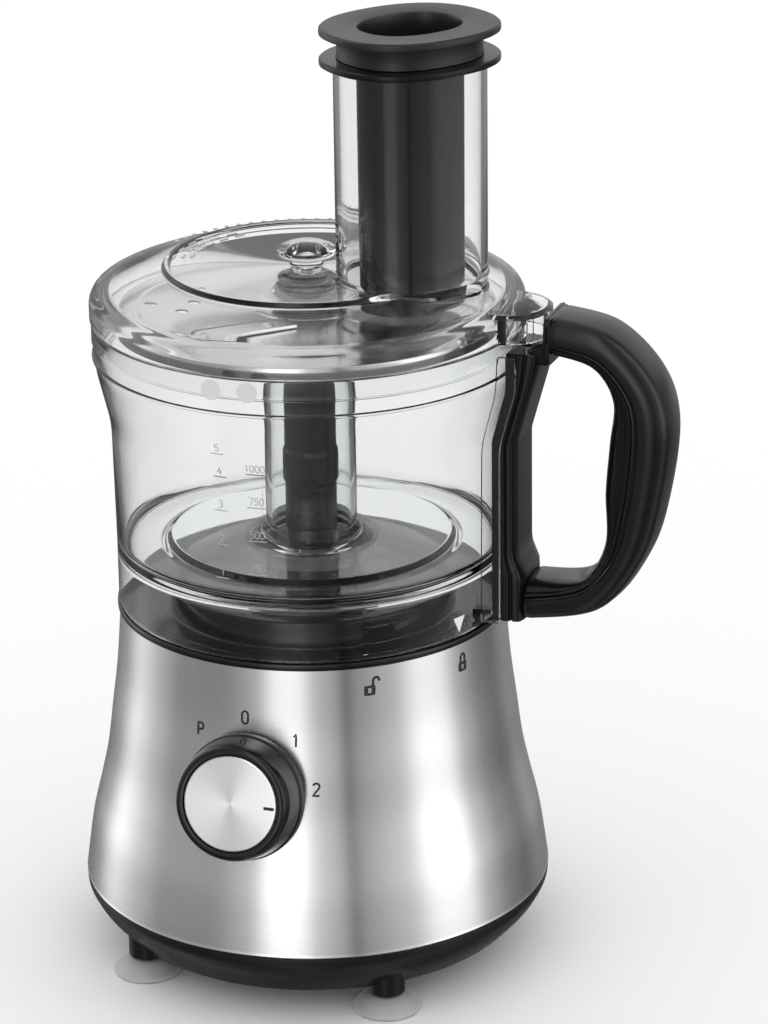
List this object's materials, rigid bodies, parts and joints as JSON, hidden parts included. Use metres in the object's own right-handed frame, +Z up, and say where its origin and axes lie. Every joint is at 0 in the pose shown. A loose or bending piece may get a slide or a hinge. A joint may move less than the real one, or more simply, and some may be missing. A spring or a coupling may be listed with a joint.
{
  "type": "food processor",
  "caption": "Compact food processor with a flared steel base, clear bowl with loop handle, slicing disc, clear lid with feed tube, pusher and rotary speed knob.",
  "frame": {"origin": "on the surface the feet stand on, under the middle of the whole object; the drive axis is 28 mm towards -X from it", "axes": "+Z up along the drive axis, -Y towards the knob at the front, +X towards the handle"},
  "size_m": [0.246, 0.2193, 0.386],
  "materials": {
    "brushed_steel": "fine circumferential brushing",
    "bright_steel": "bright stainless and plated fasteners",
    "spun_aluminium": "spun, radial sheen",
    "black_plastic": "satin gloss",
    "dark_grey_plastic": "satin",
    "clear_plastic": "clear, polished",
    "silicone": "translucent, soft",
    "black_rubber": "matt",
    "lamination_steel": "stacked laminations",
    "copper": "enamelled wire and copper bars",
    "carbon": "matt carbon",
    "bronze": "sintered bush",
    "circuit_board": "solder mask"
  },
  "bodies": {
    "base": {"base_shell": "brushed_steel", "bottom_tray": "black_plastic", "carbon_brush_left": "carbon", "carbon_brush_right": "carbon", "control_board": "circuit_board", "cord_gland": "black_rubber", "drive_belt": "black_rubber", "field_coil_left": "copper", "field_coil_right": "copper", "lower_bush": "bronze", "microswitch": "dark_grey_plastic", "motor_bracket_lower": "bright_steel", "motor_bracket_upper": "bright_steel", "plunger_spring": "bright_steel", "rotary_switch": "dark_grey_plastic", "stator_core": "lamination_steel", "suction_foot_1": "silicone", "suction_foot_2": "silicone", "suction_foot_3": "silicone", "suction_foot_4": "silicone", "switch_bracket": "bright_steel", "top_deck": "black_plastic", "tray_screw_1": "bright_steel", "tray_screw_2": "bright_steel", "tray_screw_3": "bright_steel", "tray_screw_4": "bright_steel", "upper_bush": "bronze"},
    "spindle": {"spindle_shaft": "bright_steel", "drive_pulley": "dark_grey_plastic", "drive_coupling": "black_plastic"},
    "motor_rotor": {"rotor_core": "lamination_steel", "motor_shaft": "bright_steel", "commutator": "copper", "cooling_fan": "dark_grey_plastic", "motor_pulley": "dark_grey_plastic"},
    "interlock_plunger": {"interlock_plunger": "dark_grey_plastic"},
    "bowl_seal": {"bowl_seal": "silicone"},
    "bowl": {"bowl": "clear_plastic", "bowl_tube": "clear_plastic", "handle_stem": "black_plastic", "handle_grip": "black_plastic", "handle_liner": "black_plastic", "handle_screw_1": "bright_steel", "handle_screw_2": "bright_steel"},
    "interlock_rod": {"interlock_rod": "dark_grey_plastic"},
    "disc": {"slicing_disc": "bright_steel", "slicing_blade": "bright_steel", "blade_rivet_1": "bright_steel", "blade_rivet_2": "bright_steel", "disc_stem": "dark_grey_plastic", "disc_hub": "dark_grey_plastic"},
    "lid_bush": {"lid_bush": "clear_plastic"},
    "lid": {"lid": "clear_plastic", "feed_tube": "clear_plastic"},
    "pusher": {"pusher_body": "dark_grey_plastic", "pusher_collar": "dark_grey_plastic"},
    "knob": {"knob_body": "black_plastic", "knob_cap": "spun_aluminium", "switch_shaft": "bright_steel"}
  },
  "joints": [
    {"name": "knob_turn", "type": "hinge", "parent": "base", "child": "knob", "pos_m": [-0.02496, -0.08294, 0.0952], "axis": [0.0357, -0.9737, 0.225], "range_deg": [0, 135]},
    {"name": "spindle_spin", "type": "hinge", "parent": "base", "child": "spindle", "pos_m": [-0.028, 0, 0], "axis": [0, 0, 1], "continuous": true},
    {"name": "rotor_spin", "type": "hinge", "parent": "base", "child": "motor_rotor", "pos_m": [-0.028, 0.044, 0], "axis": [0, 0, 1], "continuous": true},
    {"name": "bowl_lift", "type": "slide", "parent": "base", "child": "bowl_seal", "axis": [0, 0, 1], "range_m": [0, 0.12]},
    {"name": "bowl_lock", "type": "hinge", "parent": "bowl_seal", "child": "bowl", "pos_m": [-0.028, 0, 0], "axis": [0, 0, 1], "range_deg": [-32.4, 0]},
    {"name": "disc_spin", "type": "hinge", "parent": "bowl_seal", "child": "disc", "pos_m": [-0.028, 0, 0], "axis": [0, 0, 1], "continuous": true},
    {"name": "lid_lift", "type": "slide", "parent": "bowl", "child": "lid_bush", "axis": [0, 0, 1], "range_m": [0, 0.12]},
    {"name": "lid_twist", "type": "hinge", "parent": "lid_bush", "child": "lid", "pos_m": [-0.028, 0, 0], "axis": [0, 0, 1], "range_deg": [-25, 0]},
    {"name": "pusher_slide", "type": "slide", "parent": "lid", "child": "pusher", "axis": [0, 0, 1], "range_m": [0, 0.11]},
    {"name": "interlock_rod_slide", "type": "slide", "parent": "bowl", "child": "interlock_rod", "axis": [0, 0, 1], "range_m": [0, 0.00205]},
    {"name": "interlock_plunger_slide", "type": "slide", "parent": "base", "child": "interlock_plunger", "axis": [0, 0, 1], "range_m": [0, 0.00205], "deforming": ["plunger_spring"]}
  ],
  "couplings": [
    {"joint": "rotor_spin", "follows": "spindle_spin", "ratio": 5.5},
    {"joint": "disc_spin", "follows": "spindle_spin", "ratio": 1},
    {"joint": "interlock_rod_slide", "follows": "lid_twist", "m_per_rad": -0.0045837},
    {"joint": "interlock_plunger_slide", "follows": "lid_twist", "m_per_rad": -0.0045837}
  ]
}
